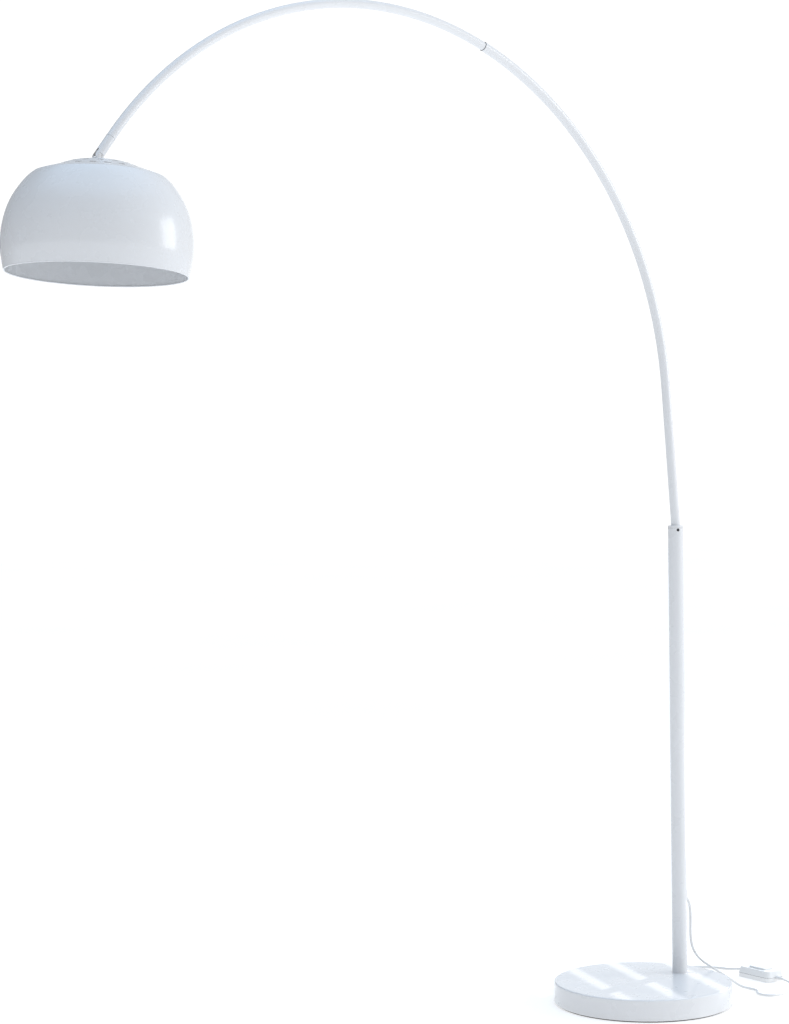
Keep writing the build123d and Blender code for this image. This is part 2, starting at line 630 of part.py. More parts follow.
def relief(start, reach):
    """Tapered ribbed strain relief with an anchoring flange inside the shell."""
    outline = [(0, start - 8), (4, start - 8), (4, start + 1)]
    for i in range(4):
        ridge = start + 1 + i * (reach - 3) / 4
        thick = 4.0 - 0.3 * i
        outline += [(thick, ridge), (thick, ridge + 2.2), (thick - 0.6, ridge + 2.4)]
    outline += [(2.9, start + reach), (0, start + reach)]
    return outline


def switch_reliefs():
    """Strain reliefs at both ends of the switch."""
    parts = []
    for side in (1, -1):
        ahead = Plane((0, 0, SWITCH_CORD_Z), z_dir=(side, 0, 0))
        outline = relief(SWITCH_LENGTH / 2, RELIEF_LENGTH)
        clean = [outline[0]]
        for point in outline[1:]:
            if point != clean[-1]:
                clean.append(point)
        parts.append(SWITCH_FRAME * turned(ahead, clean))
    return Compound(children=parts)


def plug_body():
    """Flat moulded two-pin plug with a tapered cord guard."""
    wide = PIN_PITCH + 16.4
    face = RectangleRounded(PLUG_THICK, wide, 4.5)
    tail = RectangleRounded(PLUG_THICK - 3.2, 15, 4.2)
    front = extrude(PLUG_FRAME.offset(PLUG_LENGTH - 14) * face, 14)
    waist = loft([(PLUG_FRAME.offset(3) * tail).face(), (PLUG_FRAME.offset(PLUG_LENGTH - 14) * face).face()])
    guard = turned(PLUG_FRAME, [(0, -18), (3.2, -18), (4.6, 3), (0, 3)])
    body = front + waist + guard
    for side in (-1, 1):
        body -= PLUG_FRAME * (Pos(0, side * PIN_PITCH / 2, 0) * rod(FLOOR, 1.62, PLUG_LENGTH - 8, 60))
    return body


def plug_pins():
    """Two round pins with slimmer roots set in the moulding."""
    parts = []
    for side in (-1, 1):
        pin = rod(FLOOR, 1.6, PLUG_LENGTH - 8, PLUG_LENGTH + 0.5)
        pin += rod(FLOOR, 2.0, PLUG_LENGTH + PIN_GAP, PLUG_LENGTH + PIN_GAP + 17.8)
        pin += Pos(0, 0, PLUG_LENGTH + PIN_GAP + 17.8) * Sphere(2.0)
        parts.append(PLUG_FRAME * (Pos(0, side * PIN_PITCH / 2, 0) * pin))
    return Compound(children=parts)


def cord_coil():
    """Closed ring that holds the put-away turns of the cord."""
    band = RectangleRounded(COIL_BAND, COIL_HEIGHT, 2.4)
    section = Plane.XZ * (Pos(COIL_MIDDLE, COIL_HEIGHT / 2) * band)
    return Pos(COIL_CENTRE[0], COIL_CENTRE[1], 0) * revolve(section, Axis.Z)


# ---------------------------------------------------------------- write the nodes
def main():
    os.makedirs("parts", exist_ok=True)
    save("floor_pad", floor_pad())
    save("base_plate", base_plate())
    save("plate_screws", Compound(children=[p * plate_screw() for p in PLATE_SCREW_PLACES]))
    spacer = rod(FLOOR, 6, PLATE_TOP, BALLAST_BOTTOM, 2.55)
    save("plate_spacers", Compound(children=[p * spacer for p in PLATE_SCREW_PLACES]))
    save("ballast_disc", ballast_disc())
    save("base_cover", base_cover())
    save("pole_bolt", pole_bolt())
    save("pole_washer", pole_washer())
    save("pole_foot_plug", pole_foot_plug())
    save("pole_tube", pole_tube())
    save("pole_collar", pole_collar())
    save("cord_outlet", cord_outlet())
    save("pole_cable", pole_cable())
    save("arm_set_screw", arm_set_screw())
    save("guide_bush", guide_bush())
    save("lower_arm_tube", lower_arm_tube())
    save("arm_mouth_ring", arm_mouth_ring())
    save("lower_arm_cable", lower_arm_cable())
    save("upper_arm_tube", upper_arm_tube())
    save("arm_slide_bush", arm_slide_bush())
    save("upper_arm_cable", upper_arm_cable())
    save("arm_ferrule", arm_ferrule())
    save("knuckle_screw", knuckle_screw())
    save("knuckle_nut", knuckle_nut())
    save("knuckle_washers", knuckle_washers())
    save("shade_knuckle", shade_knuckle())
    save("shade", shade())
    save("shade_washer", shade_washer())
    save("shade_nut", shade_nut())
    save("lampholder_cup", lampholder_cup())
    save("lampholder_core", lampholder_core())
    save("screw_shell", screw_shell())
    save("centre_contact", centre_contact())
    save("holder_cable", holder_cable())
    save("bulb_cap", bulb_cap())
    save("bulb_contact", bulb_contact())
    save("bulb_glass", bulb_glass())
    lower, upper = switch_shells()
    save("switch_lower_shell", lower)
    save("switch_upper_shell", upper)
    save("switch_screws", switch_screws())
    save("switch_mechanism", switch_mechanism())
    save("switch_pedal", switch_pedal())
    save("switch_reliefs", switch_reliefs())
    save("lamp_cord", cord("lamp_cord", LAMP_ROUTE))
    save("plug_cord", cord("plug_cord", PLUG_ROUTE))
    save("plug_lead", cord("plug_lead", LEAD_ROUTE))
    save("cord_coil", cord_coil())
    save("plug_body", plug_body())
    save("plug_pins", plug_pins())
    print("pivot", PIVOT, "apex", SHADE_APEX, "arc centre", ARC_CENTRE)


main()
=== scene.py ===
"""Looks of the arc floor lamp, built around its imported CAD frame. Metres, +Z up, same origin."""
from math import cos, pi, radians, sin, tau

import bmesh
import bpy
from mathutils import Matrix, Vector


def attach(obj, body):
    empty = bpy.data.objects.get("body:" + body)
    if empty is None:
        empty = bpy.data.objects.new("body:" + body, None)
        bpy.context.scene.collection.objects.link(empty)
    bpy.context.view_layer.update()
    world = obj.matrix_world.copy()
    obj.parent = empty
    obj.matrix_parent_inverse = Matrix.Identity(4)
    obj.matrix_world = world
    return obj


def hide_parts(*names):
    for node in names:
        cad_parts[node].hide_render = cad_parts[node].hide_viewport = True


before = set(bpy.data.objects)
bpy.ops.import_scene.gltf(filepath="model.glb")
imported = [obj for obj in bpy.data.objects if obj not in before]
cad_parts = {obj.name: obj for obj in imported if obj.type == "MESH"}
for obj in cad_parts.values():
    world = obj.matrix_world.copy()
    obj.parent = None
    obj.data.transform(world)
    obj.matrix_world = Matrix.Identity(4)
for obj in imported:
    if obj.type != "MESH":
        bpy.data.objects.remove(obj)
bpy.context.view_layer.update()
MM = 0.001


# ---------------------------------------------------------------- camera
CAMERA_PLACE = Vector((-3.1579, -2.9982, 0.9959))
CAMERA_YAW = -0.7008
CAMERA_PITCH = -0.0052
CAMERA_ROLL = -0.0109
CAMERA_LENS = 77.12
SENSOR = 36.0


def make_camera():
    """Long lens from the front left, at the height of the pole's top."""
    yaw, pitch, roll = CAMERA_YAW, CAMERA_PITCH, CAMERA_ROLL
    ahead = Vector((-sin(yaw) * cos(pitch), cos(yaw) * cos(pitch), sin(pitch)))
    right = Vector((cos(yaw), sin(yaw), 0))
    up = right.cross(ahead)
    tilted_right = right * cos(roll) + up * sin(roll)
    tilted_up = up * cos(roll) - right * sin(roll)
    data = bpy.data.cameras.new("camera")
    data.lens = CAMERA_LENS
    data.sensor_width = SENSOR
    data.clip_end = 60
    camera = bpy.data.objects.new("camera", data)
    turn = Matrix((tilted_right, tilted_up, -ahead)).transposed()
    camera.matrix_world = Matrix.Translation(CAMERA_PLACE) @ turn.to_4x4()
    bpy.context.scene.collection.objects.link(camera)
    bpy.context.scene.camera = camera


make_camera()
bpy.context.scene.view_settings.view_transform = "Standard"


# ---------------------------------------------------------------- small helpers
def link(obj):
    """Put an object in the scene."""
    bpy.context.scene.collection.objects.link(obj)
    return obj


def mesh_piece(name, verts, faces, smooth=True):
    """New mesh object from vertices and faces."""
    mesh = bpy.data.meshes.new(name)
    mesh.from_pydata([tuple(v) for v in verts], [], faces)
    mesh.validate()
    mesh.update()
    for face in mesh.polygons:
        face.use_smooth = smooth
    return link(bpy.data.objects.new(name, mesh))


def placed(origin, along, across):
    """Matrix whose Z runs along one direction and X across it."""
    z = Vector(along).normalized()
    x = (Vector(across) - z * z.dot(Vector(across))).normalized()
    y = z.cross(x)
    turn = Matrix((x, y, z)).transposed().to_4x4()
    return Matrix.Translation(Vector(origin)) @ turn


def turned(name, outline, matrix, steps=96, closed=False):
    """Surface of revolution about local Z from (radius, height) points in metres."""
    verts = []
    faces = []
    count = len(outline)
    for i in range(steps):
        angle = tau * i / steps
        for r, h in outline:
            verts.append(matrix @ Vector((r * cos(angle), r * sin(angle), h)))
    spans = count if closed else count - 1
    for i in range(steps):
        j = (i + 1) % steps
        for k in range(spans):
            n = (k + 1) % count
            faces.append((i * count + k, j * count + k, j * count + n, i * count + n))
    piece = mesh_piece(name, verts, faces)
    weld(piece)
    return piece


def weld(piece):
    """Merge coincident points and make the faces point outwards."""
    work = bmesh.new()
    work.from_mesh(piece.data)
    bmesh.ops.remove_doubles(work, verts=work.verts, dist=1e-6)
    bmesh.ops.recalc_face_normals(work, faces=work.faces)
    work.to_mesh(piece.data)
    work.free()


def paint_on(piece, material):
    """Give a piece one material."""
    piece.data.materials.clear()
    piece.data.materials.append(material)


# ---------------------------------------------------------------- materials
class Nodes:
    """Short way to build one material's node tree."""

    def __init__(self, name, **values):
        self.material = bpy.data.materials.new(name)
        self.material.use_nodes = True
        self.tree = self.material.node_tree
        self.shader = self.tree.nodes["Principled BSDF"]
        for key, value in values.items():
            self.shader.inputs[key.replace("_", " ")].default_value = value
        self.place = self.tree.nodes.new("ShaderNodeTexCoord").outputs["Object"]

    def noise(self, scale, detail=3.0, rough=0.5, stretch=None):
        """Noise over the object's own coordinates, in metres."""
        place = self.place
        if stretch:
            shape = self.tree.nodes.new("ShaderNodeMapping")
            shape.inputs["Scale"].default_value = stretch
            self.tree.links.new(place, shape.inputs["Vector"])
            place = shape.outputs["Vector"]
        node = self.tree.nodes.new("ShaderNodeTexNoise")
        node.inputs["Scale"].default_value = scale
        node.inputs["Detail"].default_value = detail
        node.inputs["Roughness"].default_value = rough
        self.tree.links.new(place, node.inputs["Vector"])
        return node.outputs["Fac"]

    def ramp(self, factor, low, high, start=0.3, end=0.7):
        """Two colours, or two grey values, mixed by a factor."""
        node = self.tree.nodes.new("ShaderNodeValToRGB")
        node.color_ramp.elements[0].position = start
        node.color_ramp.elements[1].position = end
        for element, value in zip(node.color_ramp.elements, (low, high)):
            element.color = value if len(value) == 4 else (*value, 1)
        self.tree.links.new(factor, node.inputs["Fac"])
        return node.outputs["Color"]

    def colour(self, factor, low, high):
        """Base colour between two values."""
        self.tree.links.new(self.ramp(factor, low, high), self.shader.inputs["Base Color"])

    def rough(self, factor, low, high):
        """Roughness between two values."""
        grey = self.ramp(factor, (low,) * 3, (high,) * 3)
        self.tree.links.new(grey, self.shader.inputs["Roughness"])

    def bump(self, height, strength, distance):
        """Bump; several calls stack."""
        node = self.tree.nodes.new("ShaderNodeBump")
        node.inputs["Strength"].default_value = strength
        node.inputs["Distance"].default_value = distance
        self.tree.links.new(height, node.inputs["Height"])
        normal = self.shader.inputs["Normal"]
        if normal.links:
            self.tree.links.new(normal.links[0].from_socket, node.inputs["Normal"])
        self.tree.links.new(node.outputs["Normal"], normal)


def enamel(name, low, high, rough_low, rough_high, orange_peel=0.05, coat=0.4):
    """Sprayed and baked paint: faint orange peel and faint patchiness."""
    nodes = Nodes(name, Coat_Weight=coat, Coat_Roughness=0.12)
    nodes.colour(nodes.noise(5.0, 4), low, high)
    nodes.rough(nodes.noise(22.0, 5), rough_low, rough_high)
    nodes.bump(nodes.noise(520.0, 2), orange_peel, 0.0002)
    nodes.bump(nodes.noise(2200.0, 1), 0.02, 0.0001)
    return nodes.material


def moulded(name, low, high, rough_low, rough_high, grain=900.0, strength=0.15):
    """Moulded plastic with a fine spark-eroded grain."""
    nodes = Nodes(name, Specular_IOR_Level=0.45)
    nodes.colour(nodes.noise(14.0, 3), low, high)
    nodes.rough(nodes.noise(60.0, 4), rough_low, rough_high)
    nodes.bump(nodes.noise(grain, 2), strength, 0.00015)
    return nodes.material


def metal(name, low, high, rough_low, rough_high, stretch=None, bump=0.1):
    """Bare or plated metal, with drawn lines when stretched."""
    nodes = Nodes(name, Metallic=1.0)
    nodes.colour(nodes.noise(40.0, 4), low, high)
    nodes.rough(nodes.noise(130.0, 5, stretch=stretch), rough_low, rough_high)
    nodes.bump(nodes.noise(500.0, 3, stretch=stretch), bump, 0.0001)
    return nodes.material


def felt(name):
    """Pressed grey felt: fibres and pile."""
    nodes = Nodes(name, Sheen_Weight=0.4, Sheen_Roughness=0.6, Specular_IOR_Level=0.1)
    nodes.colour(nodes.noise(900.0, 6, 0.7), (0.035, 0.035, 0.038), (0.14, 0.14, 0.145))
    nodes.rough(nodes.noise(300.0, 4), 0.9, 1.0)
    nodes.bump(nodes.noise(1500.0, 6, 0.8), 0.8, 0.0008)
    return nodes.material


def frosted_glass(name):
    """Opal bulb glass with a powder coat inside."""
    nodes = Nodes(name, Transmission_Weight=0.35, IOR=1.45, Subsurface_Weight=0.1)
    nodes.colour(nodes.noise(30.0, 3), (0.86, 0.86, 0.84), (0.93, 0.93, 0.91))
    nodes.rough(nodes.noise(200.0, 3), 0.22, 0.34)
    nodes.bump(nodes.noise(1500.0, 2), 0.04, 0.0001)
    return nodes.material


def cast_iron(name):
    """Rough primed casting."""
    nodes = Nodes(name, Metallic=0.3)
    nodes.colour(nodes.noise(60.0, 6, 0.7), (0.045, 0.043, 0.04), (0.13, 0.125, 0.12))
    nodes.rough(nodes.noise(90.0, 5), 0.6, 0.85)
    nodes.bump(nodes.noise(420.0, 8, 0.7), 0.7, 0.0012)
    return nodes.material


PAINT = enamel("white_powder_coat", (0.78, 0.78, 0.785), (0.82, 0.82, 0.825), 0.24, 0.34)
SHADE_PAINT = enamel("white_gloss_enamel", (0.745, 0.75, 0.76), (0.775, 0.78, 0.79), 0.24, 0.31, 0.04)
PLASTIC = moulded("white_moulded_plastic", (0.86, 0.86, 0.855), (0.90, 0.90, 0.89), 0.32, 0.44)
CORD_PVC = moulded("white_cord_pvc", (0.76, 0.76, 0.755), (0.82, 0.82, 0.815), 0.38, 0.5, 1600.0, 0.1)
HOLDER = moulded("lampholder_plastic", (0.70, 0.70, 0.68), (0.76, 0.76, 0.74), 0.4, 0.5)
# black for the real black mouldings, and also for the painted shadow lines at the switch seams and the
# painted shade behind the cooling slots
BLACK_AND_SHADE = moulded("black_moulding_and_shade", (0.012, 0.012, 0.013), (0.03, 0.03, 0.032), 0.35, 0.5)
NYLON = moulded("natural_nylon", (0.68, 0.67, 0.62), (0.75, 0.74, 0.69), 0.45, 0.6)
PORCELAIN = moulded("glazed_porcelain", (0.78, 0.75, 0.68), (0.84, 0.81, 0.75), 0.12, 0.25, 300.0, 0.1)
CHROME = metal("polished_chrome", (0.80, 0.81, 0.83), (0.88, 0.89, 0.90), 0.05, 0.11, bump=0.02)
ZINC = metal("bright_zinc", (0.52, 0.53, 0.55), (0.66, 0.67, 0.68), 0.25, 0.42)
# dark steel for the set screw, and also for the thin rings painted as shade in the joints at the
# ferrule and the pole's collar
DARK_STEEL_AND_SHADE = metal("blackened_steel_and_shade", (0.035, 0.035, 0.04), (0.09, 0.09, 0.095), 0.3, 0.5)
BRASS = metal("plain_brass", (0.60, 0.44, 0.17), (0.74, 0.58, 0.28), 0.2, 0.38)
ROLLED = metal("rolled_aluminium", (0.62, 0.62, 0.63), (0.74, 0.74, 0.75), 0.22, 0.36)
NICKEL = metal("nickel_plate", (0.62, 0.60, 0.56), (0.74, 0.72, 0.68), 0.12, 0.24)
FELT = felt("pressed_felt")
IRON = cast_iron("primed_cast_iron")
OPAL = frosted_glass("opal_bulb_glass")

NODE_MATERIALS = {
    "base_cover": PAINT, "pole_tube": PAINT, "pole_collar": PAINT, "lower_arm_tube": PAINT,
    "upper_arm_tube": PAINT, "arm_mouth_ring": PAINT, "arm_ferrule": PAINT, "shade": SHADE_PAINT,
    "shade_knuckle": CHROME, "knuckle_nut": CHROME, "knuckle_screw": CHROME,
    "arm_set_screw": DARK_STEEL_AND_SHADE, "base_plate": ZINC, "plate_screws": ZINC, "plate_spacers": ZINC,
    "pole_bolt": ZINC, "pole_washer": ZINC, "pole_foot_plug": ZINC, "shade_washer": ZINC,
    "shade_nut": ZINC, "switch_screws": ZINC, "knuckle_washers": ZINC, "ballast_disc": IRON,
    "floor_pad": FELT, "guide_bush": NYLON, "arm_slide_bush": NYLON, "cord_outlet": PLASTIC,
    "switch_lower_shell": PLASTIC, "switch_upper_shell": PLASTIC, "switch_pedal": PLASTIC,
    "switch_reliefs": CORD_PVC, "plug_body": CORD_PVC, "pole_cable": CORD_PVC,
    "lower_arm_cable": CORD_PVC, "upper_arm_cable": CORD_PVC, "holder_cable": CORD_PVC,
    "lampholder_cup": HOLDER, "lampholder_core": PORCELAIN, "screw_shell": BRASS,
    "centre_contact": BRASS, "bulb_glass": OPAL, "bulb_cap": ROLLED, "bulb_contact": BLACK_AND_SHADE,
    "plug_pins": NICKEL, "switch_mechanism": BLACK_AND_SHADE,
}


def dress_nodes():
    """Give every CAD node that no cord replaces its material."""
    for name, material in NODE_MATERIALS.items():
        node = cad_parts[name]
        for slot in node.material_slots:
            slot.material = material


dress_nodes()

# ---------------------------------------------------------------- cords
CORD_RADIUS = 0.0025
LAMP_ROUTE = [
    (129.5, 0, 191.5), (136.4, 0, 181.7), (140, 0, 167), (140.7, -0.5, 144), (140, 0.5, 113),
    (143.5, -2.5, 85), (155, -10.5, 65), (174, -22, 49), (195, -35, 33), (213, -47, 18),
    (226.5, -56.5, 6), (236.5, -69, 2.6), (237.5, -85, 2.6), (229, -98.5, 2.6), (217.5, -107, 2.6),
    (211, -119, 2.6), (213, -133.5, 2.6), (223, -143.5, 2.6), (237, -146.5, 2.6),
    (253, -145, 2.6), (271, -142.5, 2.6), (289, -138.5, 2.6), (306.5, -131.5, 2.6),
    (320.5, -119.5, 2.6), (328.5, -104, 3.2), (331, -90, 6.8), (331.7, -76.8, 8.5),
]
PLUG_ROUTE = [
    (342.3, 44.8, 8.5), (343.5, 58, 6.4), (345, 78, 2.7), (341, 101, 2.6), (328, 123, 2.6),
    (309, 140, 2.6), (284, 150, 2.6), (256, 151.5, 2.6), (229, 154.5, 2.6), (207, 156.4, 2.6),
]
LEAD_ROUTE = [
    (196, 156, 7.8), (181, 156.4, 7.8), (166, 159, 5.4), (151, 164.5, 3), (136, 174.5, 4),
    (118, 189, 6.85),
]
COIL_CENTRE = (190.0, 124.0)
COIL_OUTER = 32.5
COIL_STEP = 5.1
COIL_LAYERS = (2.6, 7.9)
COIL_TURNS = 3
COIL_POINTS = 18


def ease(x):
    """Smooth step from 0 to 1."""
    x = min(max(x, 0.0), 1.0)
    return x * x * (3 - 2 * x)


def coil_points():
    """Turns laid side by side inwards on the floor, then outwards on top of them.

    Each turn steps sideways in its last eighth, so neighbours stay a diameter apart.
    """
    points = []
    total = 2 * COIL_TURNS * COIL_POINTS
    for i in range(1, total - 1):
        turns = i / COIL_POINTS
        whole = int(turns)
        part = turns - whole
        step = whole + ease((part - 0.87) / 0.13)
        climb = ease((turns - COIL_TURNS + 0.25) / 0.12)
        inward = min(step, COIL_TURNS - 1)
        outward = max(step - COIL_TURNS, 0)
        r = COIL_OUTER - COIL_STEP * (inward if turns < COIL_TURNS else COIL_TURNS - 1 - outward)
        z = COIL_LAYERS[0] + (COIL_LAYERS[1] - COIL_LAYERS[0]) * climb
        angle = pi / 2 + tau * turns
        points.append((COIL_CENTRE[0] + r * cos(angle), COIL_CENTRE[1] + r * sin(angle), z))
    return points


def cord_curve(name, route):
    """Round cord along one NURBS spline whose control points are the route."""
    curve = bpy.data.curves.new(name, "CURVE")
    curve.dimensions = "3D"
    curve.bevel_depth = CORD_RADIUS
    curve.bevel_resolution = 6
    curve.resolution_u = 8
    curve.use_fill_caps = True
    spline = curve.splines.new("NURBS")
    spline.points.add(len(route) - 1)
    for point, place in zip(spline.points, route):
        point.co = (*(x * MM for x in place), 1)
    spline.order_u = 3
    spline.use_endpoint_u = True
    spline.use_smooth = True
    piece = link(bpy.data.objects.new(name, curve))
    curve.materials.append(CORD_PVC)
    return piece


lamp_cord = cord_curve("lamp_cord_line", LAMP_ROUTE)
plug_cord = cord_curve("plug_cord_line", PLUG_ROUTE + coil_points() + LEAD_ROUTE)
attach(lamp_cord, "root")
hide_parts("lamp_cord")
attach(plug_cord, "root")
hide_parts("plug_cord", "plug_lead", "cord_coil")


# ---------------------------------------------------------------- places shared with the CAD
SHADE_APEX = Vector((-1.23873, 0, 1.54605))
SHADE_DOWN = Vector((-sin(radians(3.1)), 0, -cos(radians(3.1))))
SHADE = placed(SHADE_APEX, SHADE_DOWN, (0, 1, 0))
ARC_CENTRE = Vector((-0.639004, 0, 1.14979))
ARC_RADIUS = 0.726
LEAN = 5.12
MOUTH_SWEEP = 65.45
MOUTH_GAP = 0.3157
FERRULE_SWEEP = 137.93


def arc_place(sweep):
    """Matrix across the arm at an angle along its big arc, local Z along the arm."""
    turn = radians(LEAN + sweep)
    centre = ARC_CENTRE + Vector((cos(turn), 0, sin(turn))) * ARC_RADIUS
    return placed(centre, (-sin(turn), 0, cos(turn)), (0, 1, 0))


SWITCH_TURN = radians(-95)
SWITCH = placed((0.337, -0.016, 0), (0, 0, 1), (cos(SWITCH_TURN), sin(SWITCH_TURN), 0))
PLUG_TURN = radians(140)
PLUG = placed((0.1042, 0.2006, 0.00685), (cos(PLUG_TURN), sin(PLUG_TURN), 0), (0, 0, 1))
POLE = Matrix.Translation((0.108, 0, 0))
BLACK_RUBBER = moulded("black_rubber", (0.02, 0.02, 0.022), (0.045, 0.045, 0.048), 0.5, 0.7)


# ---------------------------------------------------------------- detail pieces
def ring(name, matrix, middle, height, thick, sections=10, steps=96):
    """Round bead about local Z; all sizes in millimetres."""
    outline = []
    for k in range(sections):
        angle = tau * k / sections
        outline.append(((middle + thick * cos(angle)) * MM, (height + thick * sin(angle)) * MM))
    return turned(name, outline, matrix, steps, closed=True)


def band(name, matrix, inner, outer, low, high, ease_by=0.12, steps=96):
    """Flat ring with eased edges about local Z, in millimetres."""
    e = ease_by
    outline = [
        (inner, low + e), (inner + e, low), (outer - e, low), (outer, low + e),
        (outer, high - e), (outer - e, high), (inner + e, high), (inner, high - e),
    ]
    return turned(name, [(r * MM, h * MM) for r, h in outline], matrix, steps, closed=True)


def add_tube(verts, faces, path, normals, radius, sections=8, closed=True):
    """Append a tube that follows a path; normals give one side direction per point."""
    start = len(verts)
    count = len(path)
    for i, here in enumerate(path):
        ahead = path[(i + 1) % count] if closed or i + 1 < count else here
        behind = path[i - 1] if closed or i > 0 else here
        along = (ahead - behind).normalized()
        side = normals[i].normalized()
        other = along.cross(side).normalized()
        for k in range(sections):
            angle = tau * k / sections
            verts.append(here + side * (radius * cos(angle)) + other * (radius * sin(angle)))
    spans = count if closed else count - 1
    for i in range(spans):
        a = start + i * sections
        b = start + ((i + 1) % count) * sections
        for k in range(sections):
            n = (k + 1) % sections
            faces.append((a + k, a + n, b + n, b + k))
    if not closed:
        faces.append(tuple(start + k for k in reversed(range(sections))))
        faces.append(tuple(start + (count - 1) * sections + k for k in range(sections)))


def stadium(length, width, steps=8):
    """Rounded slot outline, long along local Y, in millimetres."""
    half = (length - width) / 2
    r = width / 2
    points = [(r * cos(pi * k / steps), half + r * sin(pi * k / steps)) for k in range(steps + 1)]
    points += [(-x, -y) for x, y in points]
    return points


# millimetres, in the frames above
CAP = [(16.0, 0.0), (44.7, 2.4), (67.0, 9.6), (89.0, 17.6), (107.0, 24.0)]
# radius of the ring, number of slots, first angle in degrees, slot length and width
VENT_RINGS = [(82.0, 22, 8.2, 11.5, 6.5), (60.0, 16, 10.1, 10.0, 5.5)]
LIP_DEPTH = 1.05
# dark ring under the cap: painted shade seen through the cooling slots; the ring itself is guessed
BAFFLE_RADII = (44, 52, 60, 70, 82, 92, 97)
BAFFLE_GAP = 4.6
BAFFLE_THICK = 0.5
SEAM_CORNER = (36, 16)
SEAM_ROUND = 8.95
SEAM_SIDE = 24.95
SEAM_HEIGHT = 9
HOLDER_RIBS = 30
HOLDER_RIB_RING = 20.1
HOLDER_RIB_MIDDLE = 37
TIE_ANGLE = radians(-62)
TIE_RING = 27.5
TIE_HALF_SPAN = 6.2
TIE_LEVELS = (8.0, 2.4)
TIE_ROUND = 2.35
TIE_HALF_WIDTH = 4.0
TIE_THICK = 0.45


def cap_depth(r):
    """Depth of the shade's cap below its top at a radius, both in millimetres."""
    for (r0, d0), (r1, d1) in zip(CAP, CAP[1:]):
        if r <= r1:
            return d0 + (d1 - d0) * max(r - r0, 0) / (r1 - r0)
    return CAP[-1][1]


def finish_piece(piece, body, material):
    """Material, body and slot of one added piece."""
    weld(piece)
    paint_on(piece, material)
    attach(piece, body)
    return piece


def vent_lips():
    """Fine pressed edges around the cooling slots, on the inner face of the cap."""
    verts = []
    faces = []
    for circle, count, start, length, width in VENT_RINGS:
        outline = stadium(length + 0.7, width + 0.7)
        for i in range(count):
            turn = tau * i / count + radians(start)
            path = []
            for x, y in outline:
                px = (circle + x) * cos(turn) - y * sin(turn)
                py = (circle + x) * sin(turn) + y * cos(turn)
                depth = cap_depth((px * px + py * py) ** 0.5)
                path.append(SHADE @ Vector((px * MM, py * MM, (depth + LIP_DEPTH) * MM)))
            add_tube(verts, faces, path, [SHADE_DOWN] * len(path), 0.38 * MM)
    return mesh_piece("vent_lips", verts, faces)


def vent_shade_baffle():
    """Thin dark ring a little under the cap, behind the cooling slots: painted shade that makes the
    slots read dark; a baffle there is guessed.
    """
    line = [(r, cap_depth(r) + BAFFLE_GAP) for r in BAFFLE_RADII]
    line += [(r, depth + BAFFLE_THICK) for r, depth in reversed(line)]
    return turned("vent_shade_baffle", [(r * MM, d * MM) for r, d in line], SHADE, 128, closed=True)


def blocks(name, matrix, boxes, bevel):
    """Several small eased blocks in one piece; each is (centre, size, turn about Z) in mm."""
    work = bmesh.new()
    for centre, size, turn in boxes:
        made = bmesh.ops.create_cube(work, size=1.0)
        shape = Matrix.Translation(Vector(centre) * MM) @ Matrix.Rotation(turn, 4, "Z")
        shape = matrix @ shape @ Matrix.Diagonal((*(x * MM for x in size), 1))
        bmesh.ops.transform(work, matrix=shape, verts=made["verts"])
    bmesh.ops.bevel(
        work, geom=work.edges[:], offset=bevel * MM, segments=3, profile=0.5, affect="EDGES",
    )
    mesh = bpy.data.meshes.new(name)
    work.to_mesh(mesh)
    work.free()
    for face in mesh.polygons:
        face.use_smooth = True
    return link(bpy.data.objects.new(name, mesh))


def switch_seam(name, end):
    """Shadow line where the two shells of the switch meet, along one half of it."""
    path = [SWITCH @ (Vector((0, -SEAM_SIDE * end, SEAM_HEIGHT)) * MM)]
    normals = [SWITCH.to_3x3() @ Vector((0, -end, 0))]
    cx, half = SEAM_CORNER
    for cy, start in ((-half, 270), (half, 0)):
        for k in range(7):
            angle = radians(start + 15 * k)
            side = Vector((cos(angle), sin(angle), 0)) * end
            place = Vector((cx * end, cy * end, SEAM_HEIGHT)) + side * SEAM_ROUND
            path.append(SWITCH @ (place * MM))
            normals.append(SWITCH.to_3x3() @ side)
    path.append(SWITCH @ (Vector((0, SEAM_SIDE * end, SEAM_HEIGHT)) * MM))
    normals.append(SWITCH.to_3x3() @ Vector((0, end, 0)))
    verts = []
    faces = []
    add_tube(verts, faces, path, normals, 0.22 * MM, closed=False)
    return mesh_piece(name, verts, faces)


def plug_ribs():
    """Finger ribs on both flat sides of the plug's body."""
    boxes = []
    for side in (-1, 1):
        for k in range(5):
            boxes.append(((side * 6.8, 0, 26 + 2.4 * k), (0.7, 22 + 1.2 * k, 1.1), 0))
    return blocks("plug_ribs", PLUG, boxes, 0.25)


def pedal_ribs():
    """Raised anti-slip ribs on the pedal."""
    boxes = [((x, 0, 24.75), (1.3, 19, 0.9), 0) for x in (-14, -10.5, -7, 7, 10.5, 14)]
    return blocks("pedal_ribs", SWITCH, boxes, 0.3)


def holder_ribs():
    """Grip ribs around the skirt of the lampholder."""
    boxes = []
    for i in range(HOLDER_RIBS):
        turn = tau * i / HOLDER_RIBS
        x = HOLDER_RIB_RING * cos(turn)
        y = HOLDER_RIB_RING * sin(turn)
        boxes.append(((x, y, HOLDER_RIB_MIDDLE), (0.9, 1.5, 18), turn))
    return blocks("holder_ribs", SHADE, boxes, 0.3)


